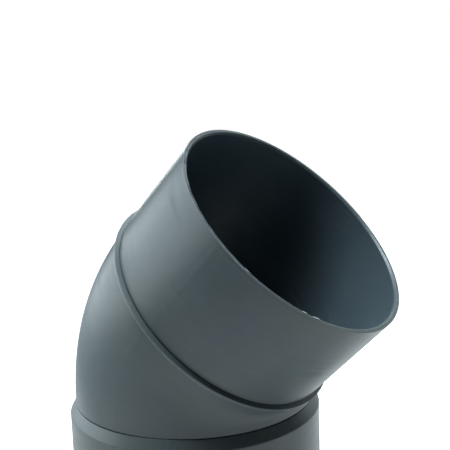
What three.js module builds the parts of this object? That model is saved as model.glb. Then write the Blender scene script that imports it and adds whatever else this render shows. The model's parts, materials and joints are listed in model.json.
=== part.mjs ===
// 45 degree PVC elbow fitting for 110 mm pipe: a plain spigot above, a ring-seal socket below.
//
// The elbow stands on its socket. +Z runs up the lower leg, and the upper leg leans towards +X.
// The origin is the middle of the fitting's footprint, on the plane that it stands on.
// Every piece is a ring turned round a centre line, so each one is a closed outline of
// [radius, height] points that LatheGeometry revolves. Only the bend's centre line is curved.

import * as THREE from 'three';

// Driving dimensions, in millimetres.
const PIPE_RADIUS = 55;
const WALL = 2.2;
const BEND_RADIUS = 57;
const BEND_ANGLE = Math.PI / 4;
const JOINT_GAP = 0.3;

// Spigot, measured back from its mouth.
const SPIGOT_LENGTH = 49.2;
const RIM_CHAMFER_RADIAL = 0.7;
const RIM_CHAMFER_AXIAL = 0.9;
const EDGE_BREAK = 0.2;

// Stop ring between the spigot and the bend.
const CREASE_GAP = 0.4;
const RING_WIDTH = 2.7;
const RING_HEIGHT = 1.8;
const RING_FRONT_SLOPE = 0.4;
const RING_CREST_WIDTH = 1.2;

// Half-lap joints: a thin tongue on each end piece sits in a cup in the bend's end.
const TONGUE_WALL = 0.95;
const CUP_DEPTH = 2.5;
const BEND_LEG = 2.5;

// Ring-seal socket, measured up from the plane that the fitting stands on.
const SOCKET_DEPTH = 61;
const SOCKET_CLEARANCE = 0.3;
const SOCKET_WALL = 2.4;
const SHOULDER_HEIGHT = 4.5;
const BELL_START = 3.2;
const CHAMBER_TOP = 18;
const CHAMBER_RADIUS = 60.2;
const CHAMBER_WALL = 2.4;
const CHAMBER_SHOULDER_BOTTOM = 20.5;
const CHAMBER_SHOULDER_TOP = 24.5;

// Retaining cap that closes the seal chamber.
const CAP_PLATE = 2.9;
const CAP_PLUG_TOP = 6;
const CAP_SKIRT_TOP = 9;
const CAP_SKIRT_WALL = 1.7;
const CAP_BORE_RADIUS = 55.9;
const CAP_LEAD_IN = 2.3;
const CAP_CORNER_BREAK = 0.6;

// Lip seal, an elastomer ring held in the chamber.
const SEAL_HEEL_WIDTH = 2.5;
const SEAL_LIP_RADIUS = 53.9;
const SEAL_LIP_THICKNESS = 0.7;
const SEAL_LIP_DROP = 1.1;
const SEAL_TIP_SLOPE = 0.4;
const SEAL_VALLEY_STEP = 0.5;
const SEAL_TOE_RADIUS = 55.7;
const SEAL_TOE_HEIGHT = 1.9;
const SEAL_TOE_SLOPE = 0.9;

// Facets.
const ROUND_STEPS = 64;
const BEND_STEPS = 10;

// Sizes that follow from the driving dimensions.
const BORE_RADIUS = PIPE_RADIUS - WALL;
const TONGUE_RADIUS = BORE_RADIUS + TONGUE_WALL;
const CUP_RADIUS = TONGUE_RADIUS + JOINT_GAP;
const RING_FRONT = SPIGOT_LENGTH + CREASE_GAP;
const RING_BACK = RING_FRONT + RING_WIDTH;
const BEND_END_DEPTH = RING_BACK + JOINT_GAP;
const TONGUE_ENGAGEMENT = CUP_DEPTH - JOINT_GAP;
const BELL_TOP = SOCKET_DEPTH + SHOULDER_HEIGHT;
const BEND_BASE = BELL_TOP + JOINT_GAP;
const BEND_ARC = BEND_RADIUS * BEND_ANGLE;
const BEND_LENGTH = BEND_ARC + 2 * BEND_LEG;

const pvcGrey = new THREE.MeshStandardMaterial({ color: 0x4d555a, roughness: 0.42, metalness: 0 });
const ringGrey = new THREE.MeshStandardMaterial({ color: 0x465055, roughness: 0.45, metalness: 0 });
const capGrey = new THREE.MeshStandardMaterial({ color: 0x3a4043, roughness: 0.5, metalness: 0 });
const sealRubber = new THREE.MeshStandardMaterial({ color: 0x1b1c1d, roughness: 0.8, metalness: 0 });

// A closed ring: the outline's points run anticlockwise in the [radius, height] plane.
function revolve(outline) {
  const points = [...outline, outline[0]].map(([radius, height]) => new THREE.Vector2(radius, height));
  const geometry = new THREE.LatheGeometry(points, ROUND_STEPS);
  geometry.rotateX(Math.PI / 2);
  return geometry;
}

function mesh(name, geometry, material) {
  const piece = new THREE.Mesh(geometry, material);
  piece.name = name;
  return piece;
}

// Heights along the centre line where the bend has a ring of vertices.
function bendStations() {
  const stations = [];
  for (let step = 0; step <= BEND_STEPS; step += 1) {
    stations.push(BEND_LEG + (BEND_ARC * step) / BEND_STEPS);
  }
  return stations;
}

// The point of the bent centre line that lies a given distance from the bend's lower end face.
function centreLine(distance) {
  const angle = THREE.MathUtils.clamp((distance - BEND_LEG) / BEND_RADIUS, 0, BEND_ANGLE);
  const straight = distance - BEND_LEG - angle * BEND_RADIUS;
  const x = BEND_RADIUS * (1 - Math.cos(angle)) + straight * Math.sin(angle);
  const z = BEND_LEG + BEND_RADIUS * Math.sin(angle) + straight * Math.cos(angle);
  return { x, z, angle };
}

// Carries a straight ring onto the bent centre line.
function bendGeometry(geometry) {
  const position = geometry.attributes.position;
  for (let i = 0; i < position.count; i += 1) {
    const offset = position.getX(i);
    const line = centreLine(position.getZ(i));
    position.setX(i, line.x + offset * Math.cos(line.angle));
    position.setZ(i, line.z - offset * Math.sin(line.angle));
  }
  return geometry;
}

// Short-radius bend with a shallow cup in each end.
function makeBendBody() {
  const stations = bendStations();
  const outside = stations.map((height) => [PIPE_RADIUS, height]);
  const inside = [...stations].reverse().map((height) => [BORE_RADIUS, height]);
  const outline = [
    [PIPE_RADIUS, 0],
    ...outside,
    [PIPE_RADIUS, BEND_LENGTH],
    [CUP_RADIUS, BEND_LENGTH],
    [CUP_RADIUS, BEND_LENGTH - CUP_DEPTH],
    [BORE_RADIUS, BEND_LENGTH - CUP_DEPTH],
    ...inside,
    [BORE_RADIUS, CUP_DEPTH],
    [CUP_RADIUS, CUP_DEPTH],
    [CUP_RADIUS, 0],
  ];
  const bend = mesh('bend_body', bendGeometry(revolve(outline)), pvcGrey);
  bend.position.z = BEND_BASE;
  return bend;
}

// Plain pipe end with its inner edge chamfered and a tongue behind it. Height 0 is the mouth.
function makeSpigotSleeve() {
  const tongueEnd = -(BEND_END_DEPTH + TONGUE_ENGAGEMENT);
  return mesh('spigot_sleeve', revolve([
    [BORE_RADIUS, tongueEnd],
    [TONGUE_RADIUS, tongueEnd],
    [TONGUE_RADIUS, -SPIGOT_LENGTH],
    [PIPE_RADIUS, -SPIGOT_LENGTH],
    [PIPE_RADIUS, -EDGE_BREAK],
    [PIPE_RADIUS - EDGE_BREAK, 0],
    [BORE_RADIUS + RIM_CHAMFER_RADIAL, 0],
    [BORE_RADIUS, -RIM_CHAMFER_AXIAL],
  ]), pvcGrey);
}

// Raised ring that stops the spigot in its mating socket: steep in front, a longer slope behind.
function makeStopRing() {
  const crestFront = RING_FRONT + RING_FRONT_SLOPE;
  const crestBack = crestFront + RING_CREST_WIDTH;
  const crestRadius = PIPE_RADIUS + RING_HEIGHT;
  return mesh('stop_ring', revolve([
    [CUP_RADIUS, -RING_BACK],
    [PIPE_RADIUS, -RING_BACK],
    [crestRadius, -crestBack],
    [crestRadius, -crestFront],
    [PIPE_RADIUS, -RING_FRONT],
    [CUP_RADIUS, -RING_FRONT],
  ]), ringGrey);
}

// Socket that takes a 110 mm pipe, with the seal chamber near its mouth and a tongue on top.
function makeSocketBell() {
  const socketBore = PIPE_RADIUS + SOCKET_CLEARANCE;
  const socketOutside = socketBore + SOCKET_WALL;
  const chamberOutside = CHAMBER_RADIUS + CHAMBER_WALL;
  const tongueTop = BEND_BASE + TONGUE_ENGAGEMENT;
  return mesh('socket_bell', revolve([
    [chamberOutside, BELL_START],
    [chamberOutside, CHAMBER_SHOULDER_BOTTOM],
    [socketOutside, CHAMBER_SHOULDER_TOP],
    [socketOutside, SOCKET_DEPTH],
    [PIPE_RADIUS, BELL_TOP],
    [TONGUE_RADIUS, BELL_TOP],
    [TONGUE_RADIUS, tongueTop],
    [BORE_RADIUS, tongueTop],
    [BORE_RADIUS, SOCKET_DEPTH],
    [socketBore, SOCKET_DEPTH],
    [socketBore, CHAMBER_TOP],
    [CHAMBER_RADIUS, CHAMBER_TOP],
    [CHAMBER_RADIUS, BELL_START],
  ]), pvcGrey);
}

// Elastomer seal: a heel against the chamber wall and a lip that leans into the socket.
function makeLipSeal() {
  const outside = CHAMBER_RADIUS - JOINT_GAP;
  const bottom = CAP_PLUG_TOP + JOINT_GAP;
  const top = CHAMBER_TOP - JOINT_GAP;
  const heelInside = outside - SEAL_HEEL_WIDTH;
  const valley = (bottom + top) / 2;
  const lipTop = top - SEAL_LIP_DROP;
  return mesh('lip_seal', revolve([
    [outside, bottom],
    [outside, top],
    [heelInside, top],
    [heelInside - SEAL_VALLEY_STEP, valley],
    [SEAL_LIP_RADIUS + SEAL_LIP_THICKNESS, lipTop],
    [SEAL_LIP_RADIUS, lipTop - SEAL_TIP_SLOPE],
    [SEAL_TOE_RADIUS, bottom + SEAL_TOE_HEIGHT],
    [SEAL_TOE_RADIUS + SEAL_TOE_SLOPE, bottom],
  ]), sealRubber);
}

// Snap-on cap: a plug that holds the seal, a plate over the bell's end and a skirt round it.
function makeRetainingCap() {
  const plugRadius = CHAMBER_RADIUS - JOINT_GAP;
  const skirtInside = CHAMBER_RADIUS + CHAMBER_WALL + JOINT_GAP;
  const skirtOutside = skirtInside + CAP_SKIRT_WALL;
  return mesh('retaining_cap', revolve([
    [CAP_BORE_RADIUS + CAP_LEAD_IN, 0],
    [skirtOutside - CAP_CORNER_BREAK, 0],
    [skirtOutside, CAP_CORNER_BREAK],
    [skirtOutside, CAP_SKIRT_TOP],
    [skirtInside, CAP_SKIRT_TOP],
    [skirtInside, CAP_PLATE],
    [plugRadius, CAP_PLATE],
    [plugRadius, CAP_PLUG_TOP],
    [CAP_BORE_RADIUS, CAP_PLUG_TOP],
    [CAP_BORE_RADIUS, CAP_PLATE],
  ]), capGrey);
}

// Upper leg: its group's origin is the middle of the mouth, and its +Z points out of it.
function makeUpperLeg() {
  const leg = new THREE.Group();
  const end = centreLine(BEND_LENGTH);
  const reach = BEND_END_DEPTH;
  leg.position.x = end.x + reach * Math.sin(BEND_ANGLE);
  leg.position.z = BEND_BASE + end.z + reach * Math.cos(BEND_ANGLE);
  leg.rotation.y = BEND_ANGLE;
  leg.add(makeSpigotSleeve(), makeStopRing());
  return leg;
}

const elbow = new THREE.Group();
const upperLeg = makeUpperLeg();
elbow.add(
  makeBendBody(),
  upperLeg,
  makeSocketBell(),
  makeLipSeal(),
  makeRetainingCap(),
);

// Slides the fitting along X so that the origin is the middle of its footprint.
const capOutside = CHAMBER_RADIUS + CHAMBER_WALL + JOINT_GAP + CAP_SKIRT_WALL;
const mouthReach = upperLeg.position.x - EDGE_BREAK * Math.sin(BEND_ANGLE) + PIPE_RADIUS * Math.cos(BEND_ANGLE);
elbow.position.x = (capOutside - mouthReach) / 2;

export default elbow;
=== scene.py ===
"""PVC elbow fitting: a plain spigot above, a 45 degree bend, and a ring-seal socket below.

Every piece is a ring turned round the elbow's centre line, so each is made the same way: a closed
outline of corners, rounded, turned in fine steps, and laid along a straight or a bent centre line.
Outlines are in millimetres and meshes in metres. Angles round a ring start at the side the mouth
leans to; a quarter turn back from there is the side that faces the camera.
"""

import json
import math

import bpy
from mathutils import Matrix, Vector, noise


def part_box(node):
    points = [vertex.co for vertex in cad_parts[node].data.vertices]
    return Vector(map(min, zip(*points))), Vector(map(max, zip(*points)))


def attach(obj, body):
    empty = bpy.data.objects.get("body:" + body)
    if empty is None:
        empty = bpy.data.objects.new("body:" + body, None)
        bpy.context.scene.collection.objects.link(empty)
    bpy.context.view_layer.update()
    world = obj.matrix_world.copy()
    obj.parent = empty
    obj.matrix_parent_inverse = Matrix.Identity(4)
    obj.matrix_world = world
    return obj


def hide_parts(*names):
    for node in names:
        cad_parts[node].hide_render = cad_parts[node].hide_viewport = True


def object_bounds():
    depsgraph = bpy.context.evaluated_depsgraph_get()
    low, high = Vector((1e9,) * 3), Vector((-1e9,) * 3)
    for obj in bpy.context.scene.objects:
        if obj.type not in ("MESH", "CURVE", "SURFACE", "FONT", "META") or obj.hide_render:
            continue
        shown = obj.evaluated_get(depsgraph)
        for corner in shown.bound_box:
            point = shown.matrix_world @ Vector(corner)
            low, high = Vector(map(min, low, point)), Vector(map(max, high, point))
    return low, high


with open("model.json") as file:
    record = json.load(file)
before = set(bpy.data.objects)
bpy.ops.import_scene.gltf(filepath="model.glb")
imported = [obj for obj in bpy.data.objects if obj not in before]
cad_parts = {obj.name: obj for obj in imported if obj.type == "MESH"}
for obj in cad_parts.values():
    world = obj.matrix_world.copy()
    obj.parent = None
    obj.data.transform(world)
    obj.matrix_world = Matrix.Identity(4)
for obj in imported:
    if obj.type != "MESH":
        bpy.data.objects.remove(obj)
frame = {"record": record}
cad_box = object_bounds()

MM = 0.001

# ---------------------------------------------------------------- sizes read from the frame, in mm


def half_width(node):
    low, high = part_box(node)
    return (high.y - low.y) / 2 / MM


def height_range(node):
    low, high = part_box(node)
    return low.z / MM, high.z / MM


mounts = {mount["name"]: mount for mount in frame["record"]["mounts"]}
mouth = mounts["spigot_rim"]
MOUTH_CENTRE = Vector((mouth["pos_m"][0], 0.0, mouth["pos_m"][2]))
MOUTH_AXIS = Vector(mouth["axis"]).normalized()
SOCKET_CENTRE = Vector((mounts["pipe_stop"]["pos_m"][0], 0.0, 0.0))
SOCKET_AXIS = Vector((0.0, 0.0, 1.0))

PIPE_RADIUS = half_width("spigot_sleeve")
RING_RADIUS = half_width("stop_ring")
CHAMBER_OUTSIDE = half_width("socket_bell")
CAP_OUTSIDE = half_width("retaining_cap")
SEAL_OUTSIDE = half_width("lip_seal")
BEND_BASE = height_range("bend_body")[0]
BELL_START, TONGUE_TOP = height_range("socket_bell")
SEAL_BOTTOM, SEAL_TOP = height_range("lip_seal")
CAP_SKIRT_TOP = height_range("retaining_cap")[1]
SOCKET_DEPTH = mounts["pipe_stop"]["pos_m"][2] / MM

# ---------------------------------------------------------------- smaller sizes, in mm

WALL = 2.2
JOINT_GAP = 0.3
BEND_RADIUS = 57.0
BEND_ANGLE = math.pi / 4
BEND_LEG = 2.5
CUP_DEPTH = 2.5
TONGUE_WALL = 0.95

SPIGOT_LENGTH = 49.2
RIM_CHAMFER_RADIAL = 0.7
RIM_CHAMFER_AXIAL = 0.9
RIM_SHADE_DEPTH = 1.3
RIM_EDGE_WIDTH = 0.45

CREASE_GAP = 0.4
RING_WIDTH = 2.7
RING_FRONT_SLOPE = 0.4
RING_CREST_WIDTH = 1.2

SOCKET_BORE = PIPE_RADIUS + 0.3
SOCKET_OUTSIDE = SOCKET_BORE + 2.4
BELL_TOP = BEND_BASE - JOINT_GAP
CHAMBER_RADIUS = CHAMBER_OUTSIDE - 2.4
CHAMBER_TOP = SEAL_TOP + JOINT_GAP
CHAMBER_SHOULDER_BOTTOM = 20.5
CHAMBER_SHOULDER_TOP = 24.5

CAP_PLATE = BELL_START - JOINT_GAP
CAP_PLUG_TOP = SEAL_BOTTOM - JOINT_GAP
CAP_BORE = 55.9
CAP_LEAD_IN = 2.3

SEAL_HEEL_WIDTH = 2.5
SEAL_VALLEY_STEP = 0.5
SEAL_LIP_RADIUS = 53.9
SEAL_LIP_THICKNESS = 0.7
SEAL_LIP_DROP = 1.1
SEAL_TIP_SLOPE = 0.4
SEAL_TOE_RADIUS = 55.7
SEAL_TOE_HEIGHT = 1.9
SEAL_TOE_SLOPE = 0.9

BORE_RADIUS = PIPE_RADIUS - WALL
TONGUE_RADIUS = BORE_RADIUS + TONGUE_WALL
CUP_RADIUS = TONGUE_RADIUS + JOINT_GAP
RING_FRONT = SPIGOT_LENGTH + CREASE_GAP
RING_BACK = RING_FRONT + RING_WIDTH
TONGUE_END = RING_BACK + CUP_DEPTH
CLOSED_GAP = 0.02
BEND_LENGTH = BEND_RADIUS * BEND_ANGLE + 2 * BEND_LEG

# ---------------------------------------------------------------- turned pieces

ROUND_STEPS = 360
FILLET_STEPS = 5
STATION_SPACING = 3.0
# A fillet takes at most this share of the shorter straight beside it.
FILLET_ROOM = 0.45
# A support point stands this far from its arc, in mm, or this share of its straight if that's nearer.
SUPPORT = 0.35
SUPPORT_SHARE = 0.04


def corner(radius, height, fillet=0.2, wear_and_highlight=0.0, painted_shade=0.0):
    """One corner of an outline, with its fillet, how pale it is from wear and painted highlight, and how
    dark it is from painted shade.
    """
    return {"at": Vector((radius, height)), "fillet": fillet, "wear_and_highlight": wear_and_highlight, "painted_shade": painted_shade}


def beside(point, straight):
    """The support point next to the end of an arc."""
    return point + straight.normalized() * min(SUPPORT, SUPPORT_SHARE * straight.length)


def rounded(outline):
    """The outline as [(radius, height, wear and painted highlight, painted shade)]: corners become arcs,
    straights get stations.

    A corner with no fillet is a plain point on a straight. A support point on each side of an arc
    keeps the flats beside it flat when shaded.
    """
    points = []
    for i, this in enumerate(outline):
        if not this["fillet"]:
            points.append((*this["at"], this["wear_and_highlight"], this["painted_shade"]))
            continue
        before = outline[i - 1]["at"] - this["at"]
        after = outline[(i + 1) % len(outline)]["at"] - this["at"]
        opening = before.angle(after)
        room = FILLET_ROOM * min(before.length, after.length)
        reach = min(this["fillet"] / math.tan(opening / 2), room)
        start = this["at"] + before.normalized() * reach
        end = this["at"] + after.normalized() * reach
        points.append((*beside(start, before), 0.0, 0.0))
        for step in range(FILLET_STEPS + 1):
            t = step / FILLET_STEPS
            point = start * (1 - t) ** 2 + this["at"] * 2 * t * (1 - t) + end * t * t
            points.append((*point, this["wear_and_highlight"], this["painted_shade"]))
        points.append((*beside(end, after), 0.0, 0.0))
    return with_stations(points)


def with_stations(points):
    """Adds evenly spaced points along each long straight of a closed outline."""
    filled = []
    for i, (r, h, wear_and_highlight, painted_shade) in enumerate(points):
        next_r, next_h, _, next_painted_shade = points[(i + 1) % len(points)]
        filled.append((r, h, wear_and_highlight, painted_shade))
        gaps = int(math.hypot(next_r - r, next_h - h) / STATION_SPACING) + 1
        for step in range(1, gaps):
            t = step / gaps
            shade_between = painted_shade + (next_painted_shade - painted_shade) * t
            filled.append((r + (next_r - r) * t, h + (next_h - h) * t, 0.0, shade_between))
    return filled


def straight_line(origin, axis):
    """Lays a ring on a straight line. Height 0 is at the origin."""
    back = Vector((0, 1, 0))
    lean = back.cross(axis)

    def place(radius, height, around):
        across = lean * math.cos(around) + back * math.sin(around)
        return origin + (axis * height + across * radius) * MM

    return place


def bent_line(origin):
    """Lays a ring on the bend's centre line. Height is the distance along it from its lower end."""
    back = Vector((0, 1, 0))

    def place(radius, height, around):
        angle = min(max((height - BEND_LEG) / BEND_RADIUS, 0.0), BEND_ANGLE)
        axis = Vector((math.sin(angle), 0, math.cos(angle)))
        lean = back.cross(axis)
        x = BEND_RADIUS * (1 - math.cos(angle))
        z = BEND_LEG + BEND_RADIUS * math.sin(angle)
        line = Vector((x, 0, z)) + axis * (height - BEND_LEG - angle * BEND_RADIUS)
        across = lean * math.cos(around) + back * math.sin(around)
        return origin + (line + across * radius) * MM

    return place


def turned_piece(name, outline, place, relief):
    """Turns a closed outline into a mesh. Each vertex keeps its place on the straight ring."""
    profile = rounded(outline)
    vertices, straight, wear_and_highlights, painted_shades, pales, rubs = [], [], [], [], [], []
    for step in range(ROUND_STEPS):
        around = 2 * math.pi * step / ROUND_STEPS
        for r, h, wear_and_highlight, painted_shade in profile:
            out, along, pale, rubbed = relief(r, h, around)
            vertices.append(place(r + out, h + along, around))
            straight.extend((r * math.cos(around), r * math.sin(around), h))
            wear_and_highlights.append(wear_and_highlight)
            painted_shades.append(painted_shade)
            pales.append(pale)
            rubs.append(rubbed)
    faces = []
    for step in range(ROUND_STEPS):
        ring = step * len(profile)
        next_ring = (step + 1) % ROUND_STEPS * len(profile)
        for i in range(len(profile)):
            j = (i + 1) % len(profile)
            faces.append((ring + i, next_ring + i, next_ring + j, ring + j))
    mesh = bpy.data.meshes.new(name)
    mesh.from_pydata(vertices, [], faces)
    mesh.polygons.foreach_set("use_smooth", [True] * len(mesh.polygons))
    mesh.attributes.new("straight", "FLOAT_VECTOR", "POINT").data.foreach_set("vector", straight)
    for key, values in (("wear_and_highlight", wear_and_highlights), ("painted_shade", painted_shades), ("pale", pales), ("rubbed", rubs)):
        mesh.attributes.new(key, "FLOAT", "POINT").data.foreach_set("value", values)
    mesh.update()
    piece = bpy.data.objects.new(name, mesh)
    bpy.context.scene.collection.objects.link(piece)
    return piece


# ---------------------------------------------------------------- relief of a surface, in mm

# A point this close to a wall's surface is on it.
ON_SURFACE = 0.1

PARTING_LINE_HEIGHT = 0.06
PARTING_LINE_WIDTH = 0.9

# A wall wanders this many times faster than the ring turns, and once in this many mm of its height.
WANDER_TURNS = 1.6
WANDER_LENGTH = 34.0

# The sawn inner edge of the rim: how fast its ripples and nicks follow each other, and how big they are.
RIPPLE_TURNS = 21.0
RIPPLE_HEIGHT = 0.07
RIPPLE_SEED = 4.2
NICK_TURNS = 47.0
NICK_DEPTH = 0.5
NICK_THRESHOLD = 0.3
NICK_SEED = 9.6

# A burr this high, in mm, is as pale as burrs get.
RIM_BURR_PALE = 0.22
# Burrs left by the saw on the inner edge of the rim: angle and half length in degrees, height in mm.
RIM_BURRS = [
    (-76.0, 1.2, 0.10),
    (-48.5, 0.9, 0.22),
    (-42.8, 1.9, 0.30),
]

# A scuffed patch and a small dent on the outside of the spigot: middle and half size, in degrees and mm.
SCUFF_TURN = (-30.0, 17.0)
SCUFF_HEIGHT = (-24.0, 11.0)
DENT_TURN = (-5.0, 3.0)
DENT_HEIGHT = (-6.0, 2.2)
DENT_DEPTH = 0.3


def ring_noise(around, turns, level):
    """Smooth noise that closes on itself round the ring."""
    return noise.noise(Vector((math.cos(around) * turns, math.sin(around) * turns, level)))


def slow_wander(seed, amount):
    """A wall that is never quite round or straight.

    Every relief returns how far a point moves out and along, and how pale and how scuffed it is.
    """

    def relief(r, h, around):
        return ring_noise(around, WANDER_TURNS, h / WANDER_LENGTH + seed) * amount, 0.0, 0.0, 0.0

    return relief


def moulded(seed, amount, outside):
    """A slow wander, and a faint parting line along each side of the outside."""
    wander = slow_wander(seed, amount)

    def relief(r, h, around):
        out = wander(r, h, around)[0]
        if r > outside - ON_SURFACE:
            from_line = abs(math.cos(around)) * r
            out += PARTING_LINE_HEIGHT * max(0.0, 1.0 - from_line / PARTING_LINE_WIDTH)
        return out, 0.0, 0.0, 0.0

    return relief


def degrees_from_front(around):
    """An angle round the ring in degrees, from -180 to 180."""
    return math.degrees(math.remainder(around, 2 * math.pi))


def hump(value, centre, half_width):
    """1 at the centre, falling smoothly to 0 at each side."""
    away = (value - centre) / half_width
    return max(0.0, 1.0 - away * away)


def rim_edge(around):
    """How far the sawn inner edge of the rim stands up, below zero where it's nicked, and how pale it is."""
    ripple = ring_noise(around, RIPPLE_TURNS, RIPPLE_SEED)
    nick = ring_noise(around, NICK_TURNS, NICK_SEED)
    lift = ripple * RIPPLE_HEIGHT - NICK_DEPTH * max(0.0, nick - NICK_THRESHOLD)
    pale = 0.0
    for angle, half_length, height in RIM_BURRS:
        burr = hump(degrees_from_front(around), angle, half_length)
        lift += height * burr
        pale = max(pale, burr * height / RIM_BURR_PALE)
    return lift, min(1.0, pale)


# ---------------------------------------------------------------- the pieces


def make_spigot_sleeve():
    outline = [
        corner(BORE_RADIUS, -TONGUE_END, 0.03),
        corner(TONGUE_RADIUS, -TONGUE_END),
        corner(TONGUE_RADIUS, -SPIGOT_LENGTH, 0.05),
        corner(PIPE_RADIUS, -SPIGOT_LENGTH, 0.08),
        # Painted shade darkens a band on the outside just below the rim and the rim's flat; wear and painted
        # highlight make the rim's edges pale.
        corner(PIPE_RADIUS, -RIM_SHADE_DEPTH, 0.0),
        corner(PIPE_RADIUS, -RIM_SHADE_DEPTH / 2, 0.0, painted_shade=0.3),
        corner(PIPE_RADIUS, 0.0, 0.22, wear_and_highlight=0.35),
        corner(PIPE_RADIUS - RIM_EDGE_WIDTH, 0.0, 0.0, painted_shade=0.5),
        corner(BORE_RADIUS + RIM_CHAMFER_RADIAL + RIM_EDGE_WIDTH, 0.0, 0.0, painted_shade=0.6),
        corner(BORE_RADIUS + RIM_CHAMFER_RADIAL, 0.0, 0.14, wear_and_highlight=0.9),
        corner(BORE_RADIUS, -RIM_CHAMFER_AXIAL, 0.4, wear_and_highlight=0.3),
    ]
    wall = moulded(3.1, 0.05, PIPE_RADIUS)

    def relief(r, h, around):
        out = wall(r, h, around)[0]
        turn = degrees_from_front(around)
        if r > PIPE_RADIUS - ON_SURFACE:
            dent = hump(turn, *DENT_TURN) * hump(h, *DENT_HEIGHT)
            rubbed = hump(turn, *SCUFF_TURN) * hump(h, *SCUFF_HEIGHT)
            return out - DENT_DEPTH * dent, 0.0, 0.0, rubbed
        if h < -RIM_CHAMFER_AXIAL or r > BORE_RADIUS + RIM_CHAMFER_RADIAL + 2 * ON_SURFACE:
            return out, 0.0, 0.0, 0.0
        nearness = 1.0 + h / RIM_CHAMFER_AXIAL
        lift, pale = rim_edge(around)
        return out, lift * nearness, pale * nearness, 0.0

    return turned_piece("spigot_sleeve_moulding", outline, straight_line(MOUTH_CENTRE, MOUTH_AXIS), relief)


def make_stop_ring():
    crest_front = RING_FRONT + RING_FRONT_SLOPE
    crest_back = crest_front + RING_CREST_WIDTH
    outline = [
        corner(CUP_RADIUS, -RING_BACK, 0.1),
        # Painted shade darkens the foot of the ring's back; a painted highlight lightens the crest's back
        # edge, and faintly its front edge.
        corner(PIPE_RADIUS, -RING_BACK, 0.1, painted_shade=0.3),
        corner(RING_RADIUS, -crest_back, 0.5, wear_and_highlight=1.7),
        corner(RING_RADIUS, -crest_front, 0.12, wear_and_highlight=0.2),
        corner(PIPE_RADIUS, -RING_FRONT, 0.1),
        corner(CUP_RADIUS, -RING_FRONT, 0.1),
    ]
    place = straight_line(MOUTH_CENTRE, MOUTH_AXIS)
    return turned_piece("stop_ring_moulding", outline, place, slow_wander(5.2, 0.03))


def make_bend_body():
    """The floors of its cups close up on the tongues, so the bore looks unbroken."""
    cup_floor = CUP_DEPTH - JOINT_GAP + CLOSED_GAP
    outline = [
        # Painted shade darkens both ends of the bend, at its joints.
        corner(PIPE_RADIUS, 0.0, 0.25, painted_shade=0.6),
        corner(PIPE_RADIUS, BEND_LENGTH, 0.2, painted_shade=0.5),
        corner(CUP_RADIUS, BEND_LENGTH, 0.1),
        corner(CUP_RADIUS, BEND_LENGTH - cup_floor, 0.1),
        corner(BORE_RADIUS, BEND_LENGTH - cup_floor, 0.03),
        corner(BORE_RADIUS, cup_floor, 0.03),
        corner(CUP_RADIUS, cup_floor, 0.1),
        corner(CUP_RADIUS, 0.0, 0.1),
    ]
    place = bent_line(SOCKET_CENTRE + SOCKET_AXIS * BEND_BASE * MM)
    return turned_piece("bend_body_moulding", outline, place, moulded(7.7, 0.06, PIPE_RADIUS))


def make_socket_bell():
    outline = [
        corner(CHAMBER_OUTSIDE, BELL_START, 0.4),
        corner(CHAMBER_OUTSIDE, CHAMBER_SHOULDER_BOTTOM, 1.4),
        corner(SOCKET_OUTSIDE, CHAMBER_SHOULDER_TOP, 1.4),
        corner(SOCKET_OUTSIDE, SOCKET_DEPTH, 1.4),
        # Painted shade darkens the top of the bell at its joint and the socket's inner corner; wear and
        # painted highlight make its inner edges pale.
        corner(PIPE_RADIUS, BELL_TOP, 0.3, painted_shade=0.6),
        corner(TONGUE_RADIUS, BELL_TOP, 0.1),
        corner(TONGUE_RADIUS, TONGUE_TOP),
        corner(BORE_RADIUS, TONGUE_TOP, 0.03),
        corner(BORE_RADIUS, SOCKET_DEPTH, 0.4, wear_and_highlight=0.3),
        corner(SOCKET_BORE, SOCKET_DEPTH, 0.4, painted_shade=0.6),
        corner(SOCKET_BORE, CHAMBER_TOP, 0.5, wear_and_highlight=0.3),
        corner(CHAMBER_RADIUS, CHAMBER_TOP, 0.4),
        corner(CHAMBER_RADIUS, BELL_START, 0.4),
    ]
    place = straight_line(SOCKET_CENTRE, SOCKET_AXIS)
    return turned_piece("socket_bell_moulding", outline, place, moulded(11.4, 0.05, SOCKET_OUTSIDE))


def make_lip_seal():
    heel_inside = SEAL_OUTSIDE - SEAL_HEEL_WIDTH
    valley = (SEAL_BOTTOM + SEAL_TOP) / 2
    lip_top = SEAL_TOP - SEAL_LIP_DROP
    outline = [
        corner(SEAL_OUTSIDE, SEAL_BOTTOM, 0.6),
        corner(SEAL_OUTSIDE, SEAL_TOP, 0.8),
        corner(heel_inside, SEAL_TOP, 0.7),
        corner(heel_inside - SEAL_VALLEY_STEP, valley, 0.8),
        corner(SEAL_LIP_RADIUS + SEAL_LIP_THICKNESS, lip_top, 0.25),
        corner(SEAL_LIP_RADIUS, lip_top - SEAL_TIP_SLOPE, 0.25),
        corner(SEAL_TOE_RADIUS, SEAL_BOTTOM + SEAL_TOE_HEIGHT, 1.5),
        corner(SEAL_TOE_RADIUS + SEAL_TOE_SLOPE, SEAL_BOTTOM, 0.5),
    ]
    place = straight_line(SOCKET_CENTRE, SOCKET_AXIS)
    return turned_piece("lip_seal_rubber", outline, place, slow_wander(13.9, 0.08))


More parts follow.
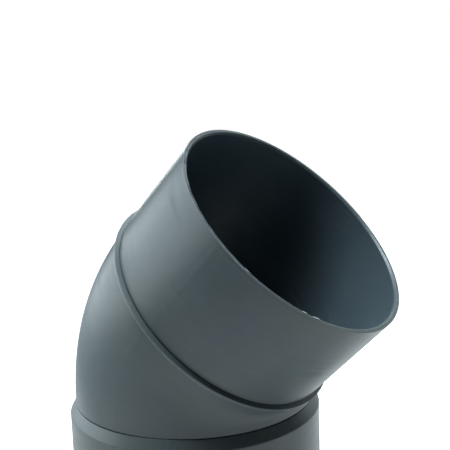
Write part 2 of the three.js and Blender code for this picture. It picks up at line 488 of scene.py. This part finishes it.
def make_retaining_cap():
    plug = CHAMBER_RADIUS - JOINT_GAP
    skirt_inside = CHAMBER_OUTSIDE + JOINT_GAP
    outline = [
        # Wear and painted highlight make the cap's outer edges pale, and painted shade darkens the corner
        # inside its skirt.
        corner(CAP_BORE + CAP_LEAD_IN, 0.0, 0.5, wear_and_highlight=0.5),
        corner(CAP_OUTSIDE, 0.0, 0.8, wear_and_highlight=0.7),
        corner(CAP_OUTSIDE, CAP_SKIRT_TOP, 0.5, wear_and_highlight=0.6),
        corner(skirt_inside, CAP_SKIRT_TOP, 0.3, painted_shade=0.8),
        corner(skirt_inside, CAP_PLATE),
        corner(plug, CAP_PLATE),
        corner(plug, CAP_PLUG_TOP, 0.3),
        corner(CAP_BORE, CAP_PLUG_TOP, 0.3),
        corner(CAP_BORE, CAP_PLATE, 0.8, wear_and_highlight=0.3),
    ]
    place = straight_line(SOCKET_CENTRE, SOCKET_AXIS)
    return turned_piece("retaining_cap_moulding", outline, place, slow_wander(17.3, 0.04))


# ---------------------------------------------------------------- materials


class Nodes:
    """Short calls that build one material's node tree."""

    def __init__(self, name):
        self.material = bpy.data.materials.new(name)
        self.material.use_nodes = True
        self.tree = self.material.node_tree
        self.shader = self.tree.nodes["Principled BSDF"]

    def plug(self, value, socket):
        """Links a node's output to a socket, or sets the socket to a plain value."""
        if isinstance(value, bpy.types.NodeSocket):
            self.tree.links.new(value, socket)
        else:
            socket.default_value = value

    def attribute(self, name, output="Fac"):
        node = self.tree.nodes.new("ShaderNodeAttribute")
        node.attribute_name = name
        return node.outputs[output]

    def radius(self):
        """Distance from the ring's centre line, in mm."""
        flat = self.tree.nodes.new("ShaderNodeVectorMath")
        flat.operation = "MULTIPLY"
        self.plug(self.attribute("straight", "Vector"), flat.inputs[0])
        flat.inputs[1].default_value = (1, 1, 0)
        length = self.tree.nodes.new("ShaderNodeVectorMath")
        length.operation = "LENGTH"
        self.plug(flat.outputs["Vector"], length.inputs[0])
        return length.outputs["Value"]

    def noise(self, per_mm, detail=3.0, roughness=0.5):
        """Noise on the straight ring. per_mm is its frequency along x, y and the ring's height."""
        stretch = self.tree.nodes.new("ShaderNodeVectorMath")
        stretch.operation = "MULTIPLY"
        self.plug(self.attribute("straight", "Vector"), stretch.inputs[0])
        stretch.inputs[1].default_value = per_mm
        node = self.tree.nodes.new("ShaderNodeTexNoise")
        node.inputs["Scale"].default_value = 1.0
        node.inputs["Detail"].default_value = detail
        node.inputs["Roughness"].default_value = roughness
        self.plug(stretch.outputs["Vector"], node.inputs["Vector"])
        return node.outputs["Fac"]

    def fit(self, value, low, high, to_low=0.0, to_high=1.0):
        """Maps low..high to to_low..to_high, clamped."""
        node = self.tree.nodes.new("ShaderNodeMapRange")
        self.plug(value, node.inputs["Value"])
        for name, number in zip(("From Min", "From Max", "To Min", "To Max"), (low, high, to_low, to_high)):
            node.inputs[name].default_value = number
        return node.outputs["Result"]

    def maths(self, operation, first, second):
        node = self.tree.nodes.new("ShaderNodeMath")
        node.operation = operation
        self.plug(first, node.inputs[0])
        self.plug(second, node.inputs[1])
        return node.outputs["Value"]

    def times(self, first, second):
        return self.maths("MULTIPLY", first, second)

    def mix(self, factor, first, second):
        node = self.tree.nodes.new("ShaderNodeMix")
        node.data_type = "RGBA"
        self.plug(factor, node.inputs["Factor"])
        self.plug(first, node.inputs[6])
        self.plug(second, node.inputs[7])
        return node.outputs[2]

    def bump(self, height, depth_mm, normal=None):
        node = self.tree.nodes.new("ShaderNodeBump")
        node.inputs["Distance"].default_value = depth_mm * MM
        self.plug(height, node.inputs["Height"])
        if normal:
            self.plug(normal, node.inputs["Normal"])
        return node.outputs["Normal"]


BURR_GREY = (0.90, 0.92, 0.92, 1.0)
RUBBER_BLACK = (0.011, 0.011, 0.012, 1.0)
RUBBER_BLOOM_GREY = (0.03, 0.031, 0.032, 1.0)
# The bore carries a painted shade that makes it a little bluer than the outside, and some patches of the
# plastic are a little warmer.
BORE_SHADE_TINT = (0.86, 0.96, 1.03)
WARM_TINT = (1.25, 1.1, 0.85)

# Noise frequencies, per mm along x, y and the ring's height.
MOTTLE = (0.045, 0.045, 0.06)
WARM_PATCHES = (0.03, 0.03, 0.03)
SCUFF_STREAKS = (0.02, 0.02, 0.8)
SCUFF_PATCHES = (0.035, 0.035, 0.045)
SPECKS = (1.1, 1.1, 1.1)
EDGE_CHIPS = (0.9, 0.9, 0.9)
FINE_HAZE = (1.3, 1.3, 1.3)
ORANGE_PEEL = (0.3, 0.3, 0.3)
MOULD_GRAIN = (3.0, 3.0, 3.0)
RUBBER_BLOOM = (0.12, 0.12, 0.3)
RUBBER_GRAIN = (2.2, 2.2, 2.2)

# How deep each bump is, in mm.
PEEL_DEPTH = 0.05
GRAIN_DEPTH = 0.006
STREAK_DEPTH = 0.012
RUBBER_GRAIN_DEPTH = 0.03


def tone(colour, *scale):
    """A colour times one number, or times one number for each channel."""
    scales = scale if len(scale) == 3 else scale * 3
    return tuple(min(1.0, part * by) for part, by in zip(colour, scales)) + (1.0,)


def moulded_plastic(name, colour, roughness, scuffing):
    """Satin plastic: soft mottling, sparse scuffs round the ring, pale edges from wear and painted
    highlight, painted shade in creases and joints and on the rim.
    """
    n = Nodes(name)
    base = n.mix(n.fit(n.noise(MOTTLE, 4.0, 0.55), 0.32, 0.68), tone(colour, 0.92), tone(colour, 1.08))
    warm = n.fit(n.noise(WARM_PATCHES, 3.0, 0.6), 0.35, 0.65)
    base = n.mix(warm, base, n.mix(0.5, base, tone(colour, *WARM_TINT)))
    # Painted shade: the bore is tinted a little bluer.
    inside = n.fit(n.radius(), BORE_RADIUS + 0.1, BORE_RADIUS + 0.4, 1.0, 0.0)
    base = n.mix(inside, base, tone(colour, *BORE_SHADE_TINT))

    streaks = n.noise(SCUFF_STREAKS, 5.0, 0.6)
    patches = n.fit(n.noise(SCUFF_PATCHES, 2.0), 0.45, 0.6)
    where = n.maths("MAXIMUM", patches, n.times(n.attribute("rubbed"), 4.5))
    scuffs = n.times(n.fit(streaks, 0.48, 0.62), where)
    base = n.mix(n.times(scuffs, scuffing), base, tone(colour, 1.9))
    specks = n.fit(n.noise(SPECKS, 1.0), 0.77, 0.80)
    base = n.mix(n.times(specks, 0.3), base, tone(colour, 2.2))

    # Pale edges, broken up by chips: partly wear that rubs the plastic pale, partly painted highlight.
    chips = n.fit(n.noise(EDGE_CHIPS, 3.0), 0.36, 0.6, 0.45, 1.0)
    base = n.mix(n.times(n.attribute("wear_and_highlight"), n.times(chips, 0.6)), base, tone(colour, 3.2))
    base = n.mix(n.attribute("pale"), base, BURR_GREY)
    # Painted shade: creases, joints and the rim are darkened towards a quarter of the colour.
    base = n.mix(n.times(n.attribute("painted_shade"), 0.75), base, tone(colour, 0.25))
    n.plug(base, n.shader.inputs["Base Color"])

    haze = n.noise(FINE_HAZE, 6.0, 0.6)
    rough = n.fit(haze, 0.3, 0.7, roughness - 0.04, roughness + 0.05)
    rough = n.maths("ADD", rough, n.times(scuffs, 0.12))
    rough = n.maths("SUBTRACT", rough, n.times(n.attribute("painted_shade"), 0.16))
    n.plug(rough, n.shader.inputs["Roughness"])

    peel = n.bump(n.noise(ORANGE_PEEL, 2.0), PEEL_DEPTH)
    grain = n.bump(n.noise(MOULD_GRAIN, 3.0), GRAIN_DEPTH, peel)
    n.plug(n.bump(streaks, STREAK_DEPTH, grain), n.shader.inputs["Normal"])
    return n.material


def matt_rubber(name):
    """Matt black rubber with a grey bloom and a fine moulded grain."""
    n = Nodes(name)
    bloom = n.noise(RUBBER_BLOOM, 5.0, 0.6)
    base = n.mix(n.fit(bloom, 0.4, 0.75), RUBBER_BLACK, RUBBER_BLOOM_GREY)
    n.plug(base, n.shader.inputs["Base Color"])
    n.plug(n.fit(bloom, 0.3, 0.7, 0.62, 0.82), n.shader.inputs["Roughness"])
    n.plug(n.bump(n.noise(RUBBER_GRAIN, 4.0), RUBBER_GRAIN_DEPTH), n.shader.inputs["Normal"])
    return n.material


# ---------------------------------------------------------------- stage, light and camera

# All in metres. The floor glows to the camera alone, most of all far from the fitting, and its bounce
# light comes mostly from the pale part round BOUNCE_CENTRE.
FLOOR_REACH = 8.0
FLOOR_DROP = 0.0002
FLOOR_FADE_START = 0.15
FLOOR_FADE_END = 0.6
FLOOR_LIFT = 0.65
FLOOR_WHITE = (0.92, 0.88, 0.87, 1.0)
FLOOR_GREY = (0.27, 0.31, 0.33, 1.0)
BOUNCE_CENTRE = (-0.01, 0.06, 0.0)
BOUNCE_NEAR = 0.12
BOUNCE_FAR = 0.38

AMBIENT_COLOUR = (0.90, 0.97, 1.0, 1.0)
AMBIENT_STRENGTH = 0.01
COOL_WHITE = (0.84, 0.96, 1.0)
LIGHT_DISTANCE = 1.0

# Azimuth and elevation in degrees, width and height in metres, watts.
SOFTBOXES = {
    "left_softbox": (-72, 11, 1.5, 0.56, 8.1),
    "back_left_softbox": (-145, 14, 0.6, 0.6, 8.0),
    "top_softbox": (0, 86, 0.5, 0.5, 9.6),
    "upper_left_softbox": (-45, 68, 0.5, 0.5, 6.4),
    "upper_back_softbox": (170, 54, 0.6, 0.3, 3.6),
    "back_softbox": (176, 12, 1.0, 0.48, 2.3),
}

# The camera's place seen from the middle of the mouth, in degrees and pipe radii, and where it looks.
CAMERA_AZIMUTH = 29.105
CAMERA_ELEVATION = 8.197
CAMERA_DISTANCE = 5.541
CAMERA_HEADING = 34.687
CAMERA_PITCH = -8.206
CAMERA_ROLL = -1.843
CAMERA_LENS = 58.97
CAMERA_SENSOR = 36.0


def make_floor():
    """A pale floor that keeps the fitting's soft shadow and fades to the white of the background."""
    mesh = bpy.data.meshes.new("floor")
    corners = [Vector((x, y, 0)) * FLOOR_REACH for x, y in ((-1, -1), (1, -1), (1, 1), (-1, 1))]
    mesh.from_pydata([at - Vector((0, 0, FLOOR_DROP)) for at in corners], [], [(0, 1, 2, 3)])
    floor = bpy.data.objects.new("floor", mesh)
    bpy.context.scene.collection.objects.link(floor)
    n = Nodes("pale_floor")
    n.shader.inputs["Roughness"].default_value = 0.9
    n.shader.inputs["Specular IOR Level"].default_value = 0.0
    geometry = n.tree.nodes.new("ShaderNodeNewGeometry")
    distance = n.tree.nodes.new("ShaderNodeVectorMath")
    distance.operation = "LENGTH"
    n.plug(geometry.outputs["Position"], distance.inputs[0])
    lift = n.fit(distance.outputs["Value"], FLOOR_FADE_START, FLOOR_FADE_END, FLOOR_LIFT, 1.0)
    from_bounce = n.tree.nodes.new("ShaderNodeVectorMath")
    from_bounce.operation = "DISTANCE"
    n.plug(geometry.outputs["Position"], from_bounce.inputs[0])
    from_bounce.inputs[1].default_value = BOUNCE_CENTRE
    away = n.fit(from_bounce.outputs["Value"], BOUNCE_NEAR, BOUNCE_FAR)
    n.plug(n.mix(away, FLOOR_WHITE, FLOOR_GREY), n.shader.inputs["Base Color"])
    seen = n.tree.nodes.new("ShaderNodeLightPath").outputs["Is Camera Ray"]
    n.plug((1, 1, 1, 1), n.shader.inputs["Emission Color"])
    n.plug(n.times(lift, seen), n.shader.inputs["Emission Strength"])
    mesh.materials.append(n.material)


def make_world():
    """White to the camera, and a dimmer, even light to everything else."""
    world = bpy.data.worlds.new("studio")
    bpy.context.scene.world = world
    world.use_nodes = True
    tree = world.node_tree
    ambient = tree.nodes["Background"]
    ambient.inputs["Color"].default_value = AMBIENT_COLOUR
    ambient.inputs["Strength"].default_value = AMBIENT_STRENGTH
    seen = tree.nodes.new("ShaderNodeBackground")
    seen.inputs["Color"].default_value = (1, 1, 1, 1)
    path = tree.nodes.new("ShaderNodeLightPath")
    mix = tree.nodes.new("ShaderNodeMixShader")
    tree.links.new(path.outputs["Is Camera Ray"], mix.inputs[0])
    tree.links.new(ambient.outputs[0], mix.inputs[1])
    tree.links.new(seen.outputs[0], mix.inputs[2])
    tree.links.new(mix.outputs[0], tree.nodes["World Output"].inputs["Surface"])


def direction(azimuth, elevation):
    """A unit vector. Azimuth 0 points to -Y and 90 to +X, in degrees."""
    azimuth, elevation = math.radians(azimuth), math.radians(elevation)
    flat = math.cos(elevation)
    return Vector((math.sin(azimuth) * flat, -math.cos(azimuth) * flat, math.sin(elevation)))


def make_softbox(name, azimuth, elevation, width, height, watts):
    """A rectangular area light that faces the middle of the fitting."""
    lamp = bpy.data.lights.new(name, "AREA")
    lamp.shape = "RECTANGLE"
    lamp.size, lamp.size_y = width, height
    lamp.energy = watts
    lamp.color = COOL_WHITE
    light = bpy.data.objects.new(name, lamp)
    bpy.context.scene.collection.objects.link(light)
    back = direction(azimuth, elevation)
    light.location = (cad_box[0] + cad_box[1]) / 2 + back * LIGHT_DISTANCE
    light.rotation_mode = "QUATERNION"
    light.rotation_quaternion = (-back).to_track_quat("-Z", "Y")


def make_camera():
    """Stands in front, to the right of the mouth and a little above it, and looks slightly down."""
    camera = bpy.data.objects.new("camera", bpy.data.cameras.new("camera"))
    bpy.context.scene.collection.objects.link(camera)
    camera.data.sensor_width = CAMERA_SENSOR
    camera.data.lens = CAMERA_LENS
    camera.data.clip_start = 0.01
    away = direction(CAMERA_AZIMUTH, CAMERA_ELEVATION) * (CAMERA_DISTANCE * PIPE_RADIUS * MM)
    camera.location = MOUTH_CENTRE + away
    heading = Matrix.Rotation(math.radians(CAMERA_HEADING), 3, "Z")
    pitch = Matrix.Rotation(math.radians(90 + CAMERA_PITCH), 3, "X")
    roll = Matrix.Rotation(math.radians(CAMERA_ROLL), 3, "Z")
    turn = heading @ pitch @ roll
    camera.rotation_euler = turn.to_euler()
    bpy.context.scene.camera = camera


# ---------------------------------------------------------------- assembly

PVC_GREY = (0.066, 0.082, 0.091)
RING_GREY = (0.062, 0.080, 0.090)
CAP_GREY = (0.042, 0.051, 0.056)

pvc = moulded_plastic("satin_pvc", PVC_GREY, 0.37, 0.19)
ring_pvc = moulded_plastic("satin_ring_pvc", RING_GREY, 0.37, 0.2)
cap_plastic = moulded_plastic("satin_cap_plastic", CAP_GREY, 0.5, 0.3)
rubber = matt_rubber("matt_seal_rubber")

PIECES = [
    (make_spigot_sleeve, "spigot_sleeve", pvc, "pvc_grey"),
    (make_stop_ring, "stop_ring", ring_pvc, "ring_grey"),
    (make_bend_body, "bend_body", pvc, "pvc_grey"),
    (make_socket_bell, "socket_bell", pvc, "pvc_grey"),
    (make_lip_seal, "lip_seal", rubber, "seal_rubber"),
    (make_retaining_cap, "retaining_cap", cap_plastic, "cap_grey"),
]
for make, node, material, slot in PIECES:
    piece = make()
    piece.data.materials.append(material)
    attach(piece, "root")
    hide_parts(node)

make_floor()
make_world()
for name, settings in SOFTBOXES.items():
    make_softbox(name, *settings)
make_camera()
bpy.context.scene.view_settings.view_transform = "Standard"
